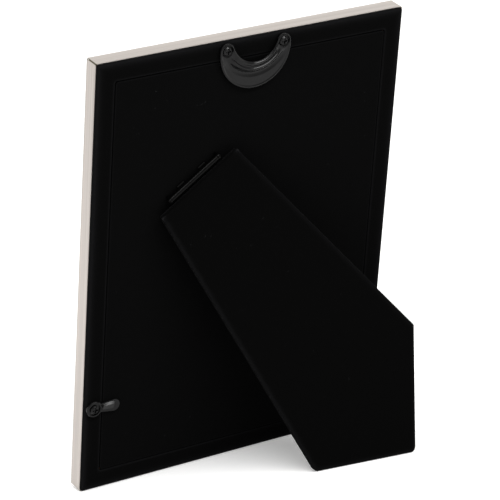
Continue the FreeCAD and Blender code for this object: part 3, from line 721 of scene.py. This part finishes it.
# The inner round edge, at the groove, gets a painted highlight.
for step, (outwards, down) in reversed(list(enumerate(quarter_round(border_inner_edge)))):
    edge_light_and_wear = 0.35 if step > 2 else 0
    rings.append((drawn_in(inner, -outwards), border_high.y - down, edge_light_and_wear))
rings.append((inner, border_low.y, 0))
border_cover = loft("border_cover", rings, back_axes)
velvet_cover(border_cover, "rim_velvet", "frame")

# %% [markdown]
# The crescent hanger. It is one pressing: a broad crescent with a raised rim, and along its inner
# edge a ridge with a thin lip, a shallow dip and a soft shoulder, then a valley. The model holds
# the same sections with straight bevels, and here the pressing gets the flowing curves that a press
# tool gives. It could be sculpted, but a pressing is really a height over an outline. So rings of
# points run in from the outline to its middle line, and each point takes its height from how far it
# is from the inner arc, from the outline and from the nearer screw. The outline comes first: two
# arcs, joined by a round lobe at each end.

# %% Circles of the crescent
hanger_low, hanger_high = span("hanger_plate", back_axes)
lobe_radius = 3.3 * mm
inner_depth = 6.6 * mm
hanger_half = hanger_high.x - lobe_radius
hanger_line = hanger_high.z - lobe_radius
outer_depth = hanger_line - hanger_low.z
half_squared = hanger_half**2 - lobe_radius**2
outer_radius = (half_squared + outer_depth**2) / (2 * (outer_depth - lobe_radius))
inner_radius = (half_squared + inner_depth**2) / (2 * (inner_depth + lobe_radius))
outer_middle = Vector((0, hanger_line - outer_depth + outer_radius))
inner_middle = Vector((0, hanger_line - inner_depth + inner_radius))
lobes = [Vector((-hanger_half, hanger_line)), Vector((hanger_half, hanger_line))]
print("crescent radii in mm", round(outer_radius / mm, 1), round(inner_radius / mm, 1))

# %% [markdown]
# The rings of the pressing need a line to close up on. It runs midway between the two arcs, and
# near its ends it is pulled to the middles of the lobes, where the screws sit.

# %% Outline and middle line of the crescent
arc_steps = 90
lobe_steps = 26
lobe_pull = 0.12


def arc(middle, radius, start, end, steps):
    """Points on a circle from one place to another, anticlockwise."""
    first = math.atan2(start.y - middle.y, start.x - middle.x)
    last = math.atan2(end.y - middle.y, end.x - middle.x)
    if last < first:
        last += 2 * math.pi
    turns = [first + (last - first) * step / steps for step in range(steps + 1)]
    return [middle + Vector((math.cos(turn), math.sin(turn))) * radius for turn in turns]


inner_ends = [lobe + (inner_middle - lobe).normalized() * lobe_radius for lobe in lobes]
outer_ends = [lobe + (lobe - outer_middle).normalized() * lobe_radius for lobe in lobes]
inner_arc = arc(inner_middle, inner_radius, inner_ends[0], inner_ends[1], arc_steps)
outer_arc = arc(outer_middle, outer_radius, outer_ends[0], outer_ends[1], arc_steps)
middle_line = []
for step in range(arc_steps + 1):
    share = step / arc_steps
    point = (inner_arc[step] + outer_arc[step]) / 2
    for end, distance in ((0, share), (-1, 1 - share)):
        pull = 1 - smooth(distance, 0.0, lobe_pull)
        point = point + (lobes[end] - (inner_arc[end] + outer_arc[end]) / 2) * pull
    middle_line.append(point)
right_lobe = arc(lobes[1], lobe_radius, outer_ends[1], inner_ends[1], lobe_steps)[1:-1]
left_lobe = arc(lobes[0], lobe_radius, inner_ends[0], outer_ends[0], lobe_steps)[1:-1]
crescent = [(point, middle_line[i], True) for i, point in enumerate(inner_arc)][::-1]
crescent += [(point, lobes[0], False) for point in left_lobe]
crescent += [(point, middle_line[i], False) for i, point in enumerate(outer_arc)]
crescent += [(point, lobes[1], False) for point in right_lobe]
print("crescent outline points", len(crescent))

# %% [markdown]
# The height of the pressing. The ridge is a section of a few heights in millimetres, each at its
# distance from the inner arc, with a smooth curve between them. Near the screws it sinks into the
# plain band, and each screw sits in a flat round seat.

# %% Height of the pressing
ridge_section = [(0.0, 2.3), (0.8, 2.9), (2.3, 2.3), (3.1, 2.9), (5.5, 0.95), (7.6, 1.5)]
band_height = 1.5 * mm
rim_height = 0.28 * mm
edge_drop = 0.45 * mm
crown_radius = 90 * mm
seat_height = 0.8 * mm
seat_radius = 2.35 * mm
seat_wall = 0.35 * mm


def ridge_height(from_inner):
    """The ridge's height at a distance from the inner arc."""
    for (start, low), (end, high) in zip(ridge_section, ridge_section[1:]):
        if from_inner < end * mm:
            return (low + (high - low) * smooth(from_inner, start * mm, end * mm)) * mm
    return band_height


def pressing_height(point, from_edge):
    """The pressing's height over the velvet at a point of the crescent."""
    from_inner = (point - inner_middle).length - inner_radius
    to_screw = min((point - lobe).length for lobe in lobes)
    rim = rim_height * (1 - smooth(from_edge, 0.6 * mm, 1.3 * mm))
    rounded = edge_drop * (1 - smooth(from_edge, -0.3 * mm, 0.5 * mm))
    plain = band_height + rim - rounded
    swell = smooth(to_screw, 2.6 * mm, 6.5 * mm)
    crown = point.x * point.x / (2 * crown_radius)
    ridge = ridge_height(from_inner) - crown * smooth(from_inner, 4.5 * mm, 2.5 * mm)
    height = plain + (ridge - plain) * swell * (1 - smooth(from_inner, 6.8 * mm, 7.6 * mm))
    seat = smooth(to_screw, seat_radius, seat_radius + seat_wall)
    return seat_height + (height - seat_height) * seat


# %% [markdown]
# The pressed crescent is drawn from below: a short wall turned in under the plate, its foot, and
# then the rings of the upper face, which close up on the middle line. Under the inner arc the foot
# is lifted, and that is the mouth where a nail or a hook goes in.

# %% The pressed crescent
hanger_rings = 44
mouth_height = 1.4 * mm
foot_width = 0.8 * mm
foot_lift = 0.6 * mm
mesh = bmesh.new()
rows = []
for inwards, lift in ((foot_width, foot_lift), (foot_width, 0), (0, 0)):
    row = []
    for point, centre, on_mouth in crescent:
        place = point + (centre - point).normalized() * inwards
        height = (mouth_height if on_mouth else 0) + lift
        row.append(mesh.verts.new(back_axes @ Vector((place.x, hanger_low.y + height, place.y))))
    rows.append(row)
for ring in range(hanger_rings + 1):
    row = []
    for point, centre, on_mouth in crescent:
        place = point.lerp(centre, ring / hanger_rings)
        height = pressing_height(place, (place - point).length)
        row.append(mesh.verts.new(back_axes @ Vector((place.x, hanger_low.y + height, place.y))))
    rows.append(row)
join_rows(mesh, rows)
bmesh.ops.remove_doubles(mesh, verts=mesh.verts, dist=0.01 * mm)
bmesh.ops.recalc_face_normals(mesh, faces=mesh.faces)
hanger_pressing = mesh_piece("hanger_pressing", mesh, black_lacquer)
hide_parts("hanger_plate")
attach(hanger_pressing, "frame")
print("hanger faces", len(hanger_pressing.data.polygons))

# %% [markdown]
# Nap and lint. Cut velvet sheds at its edges: short fibres stand out along the leg's outline, and
# small pale tufts show at its two top corners. A few specks of lint lie on the cloth, as on any
# velvet. Each fibre is a thin three-sided spike. Their places are random but seeded, so the scene
# is the same on every run.

# %% Fibres
# The fibres are paler than the cloth: along the leg's edge a painted highlight on the nap, at the
# top corners frayed ends.
pile_fibre = new_material("velvet pile fibre", Roughness=0.8, Specular_IOR_Level=0.2)
follow(pile_fibre, grain_along_frame(pile_fibre, 3 * mm), colours=("141415", "242426"))
lint_fibre = new_material("grey lint", Roughness=0.9, Specular_IOR_Level=0.2)
follow(lint_fibre, grain_along_frame(lint_fibre, 8 * mm), colours=("2c2c2e", "505053"))


def spikes(name, axes, fibres, material, body):
    """One mesh of many fibres. Each is (root, tip, radius) in the axes given."""
    mesh = bmesh.new()
    for root, tip, radius in fibres:
        line = (tip - root).normalized()
        side = line.orthogonal().normalized() * radius
        tip_vertex = mesh.verts.new(axes @ tip)
        base = []
        for turn in (0, 120, 240):
            around = Matrix.Rotation(math.radians(turn), 3, line) @ side
            base.append(mesh.verts.new(axes @ (root + around)))
        for number in range(3):
            mesh.faces.new((base[number], base[(number + 1) % 3], tip_vertex))
    piece = mesh_piece(name, mesh, material, smooth_shaded=False)
    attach(piece, body)
    print(name, "fibres", len(fibres))


# %% [markdown]
# The nap follows the leg's outline, four fibres to each of its points. The hinge's side is left
# out, as along the top no edge light is painted.

# %% Nap along the leg's edge
nap_radius = 0.035 * mm


def edge_nap(ring, high, radius, fibres_a_point, seed):
    """Short fibres that stand out along an edge."""
    picker = random.Random(seed)
    fibres = []
    inset = drawn_in(ring, 1 * mm)
    for (point, after), inside in zip(sides_of(ring), inset):
        outwards = (point - inside).normalized()
        if outwards.y > 0.9:
            continue
        for i in range(fibres_a_point):
            on_line = point.lerp(after, picker.random())
            height = high - radius * picker.uniform(0.1, 1.0)
            drop = radius * picker.uniform(0.05, 0.3)
            root = Vector((on_line.x - outwards.x * drop, height, on_line.y - outwards.y * drop))
            length = picker.uniform(0.12, 0.34) * mm + drop
            spread = Vector([picker.uniform(-0.5, 0.5) for axis in range(3)])
            towards = Vector((outwards.x, 0.35, outwards.y)) + spread
            fibres.append((root, root + towards.normalized() * length, nap_radius))
    return fibres


nap = edge_nap(leg_ring, leg_high.y, leg_edge, fibres_a_point=4, seed=7)
spikes("leg_edge_nap", leg_axes, nap, pile_fibre, "leg")

# %% [markdown]
# The tufts are the same kind of fibre, longer and crowded round each top corner, where the cloth is
# folded twice and its cut edge frays.

# %% Tufts at the leg's top corners
tuft_picker = random.Random(21)
tuft_count = 70
tuft_reach = 1.8 * mm
tuft_inset = 0.5 * mm
tuft_radius = 0.045 * mm
tufts = []
for side in (-1, 1):
    for i in range(tuft_count):
        along = tuft_picker.random() ** 2 * tuft_reach
        on_side = tuft_picker.random() < 0.5
        x = side * (half_top - tuft_inset - (0 if on_side else along))
        z = leg_high.z - tuft_inset - (along if on_side else 0)
        root = Vector((x, leg_high.y - tuft_picker.uniform(0.0, 0.6) * mm, z))
        out, up, forth = [tuft_picker.uniform(*ends) for ends in ((-0.3, 1), (0.1, 0.9), (-0.2, 1))]
        length = tuft_picker.uniform(0.5, 1.0) * mm
        tip = root + Vector((side * out, up, forth)).normalized() * length
        tufts.append((root, tip, tuft_radius))
spikes("leg_corner_tufts", leg_axes, tufts, pile_fibre, "leg")

# %% [markdown]
# Lint is what the pile picks up from the air and from sleeves: short grey specks that lie nearly
# flat, far fewer than the fibres of the nap.

# %% Lint on the cloth
lint_radius = 0.04 * mm


def lint(low, high, height, count, seed):
    """Short specks that lie on a flat face."""
    picker = random.Random(seed)
    specks = []
    for i in range(count):
        root = Vector((picker.uniform(low.x, high.x), height, picker.uniform(low.z, high.z)))
        turn = picker.uniform(0, 2 * math.pi)
        length = picker.uniform(0.3, 0.9) * mm
        towards = Vector((math.cos(turn), picker.uniform(0.05, 0.3), math.sin(turn)))
        specks.append((root, root + towards * length, lint_radius))
    return specks


margin = Vector((4, 0, 4)) * mm
specks = lint(panel_low + margin, panel_high - margin, panel_high.y, count=70, seed=3)
spikes("panel_lint", back_axes, specks, lint_fibre, "frame")
leg_area_low = Vector((-20, 0, -120)) * mm
leg_area_high = Vector((20, 0, -6)) * mm
specks = lint(leg_area_low, leg_area_high, leg_high.y, count=22, seed=5)
spikes("leg_lint", leg_axes, specks, lint_fibre, "leg")

# %% [markdown]
# The floor. The photograph is a plain product shot on a white sheet. A light table under such a
# sheet keeps it white, so here the paper glows a little itself, and shadows stay only where things
# touch it.

# %% Floor
floor_half = 8.0
floor_data = bpy.data.meshes.new("studio_floor")
floor_corners = [(-floor_half, -floor_half, 0), (floor_half, -floor_half, 0)]
floor_corners += [(floor_half, floor_half, 0), (-floor_half, floor_half, 0)]
floor_data.from_pydata(floor_corners, [], [(0, 1, 2, 3)])
studio_floor = in_scene("studio_floor", floor_data)
studio_floor.location.z = -0.05 * mm
glow = {"Emission_Color": linear("ffffff"), "Emission_Strength": 0.2}
floor_paper = new_material("white backdrop paper", Roughness=0.9, Specular_IOR_Level=0.1, **glow)
follow(floor_paper, grain_along_frame(floor_paper, 200 * mm), colours=("f6f6f6", "f9f9f9"))
floor_data.materials.append(floor_paper)
print("floor sides in m", 2 * floor_half)

# %% [markdown]
# The surround. Light comes softly from all round, but the room is dimmer round the strip light
# above the camera, and that is what lets the black fittings show their shape. It could be a picture
# of a studio wrapped round the scene. One soft change in strength does as well, and a few numbers
# set it.

# %% Surround
middle = Vector((0, 0, 0.1))
strip_offset = Vector((-0.08, 1.06, 1.3))
surround = bpy.data.worlds.new("soft white surround")
surround.use_nodes = True
bpy.context.scene.world = surround
background = surround.node_tree.nodes["Background"]
background.inputs["Color"].default_value = linear("fffefc")
direction = add_node(surround, "ShaderNodeTexCoord").outputs["Generated"]
to_strip = {0: direction, 1: strip_offset.normalized()}
facing = add_node(surround, "ShaderNodeVectorMath", to_strip, operation="DOT_PRODUCT")
dimmed = {"From Min": 0.2, "From Max": 0.9, "To Min": 1.4, "To Max": 0.55}
dimmed["Value"] = facing.outputs["Value"]
strength = add_node(surround, "ShaderNodeMapRange", dimmed, interpolation_type="SMOOTHSTEP")
surround.node_tree.links.new(strength.outputs["Result"], background.inputs["Strength"])

# %% [markdown]
# The strip lamp. The narrow highlights on the tongue, the hanger and the hinge all come from one
# long thin light behind the frame. It is two metres wide, over a metre away and aimed at the frame.

# %% Strip lamp
strip_lamp = bpy.data.lights.new("strip_lamp", "AREA")
strip_lamp.shape = "RECTANGLE"
strip_lamp.size = 2.05
strip_lamp.size_y = 0.22
strip_lamp.energy = 29
holder = in_scene("strip_lamp", strip_lamp)
holder.location = middle + strip_offset
holder.rotation_mode = "QUATERNION"
holder.rotation_quaternion = (-strip_offset).to_track_quat("-Z", "Y")
bpy.context.scene.view_settings.view_transform = "Standard"
print("strip lamp at", [round(value, 2) for value in holder.location])
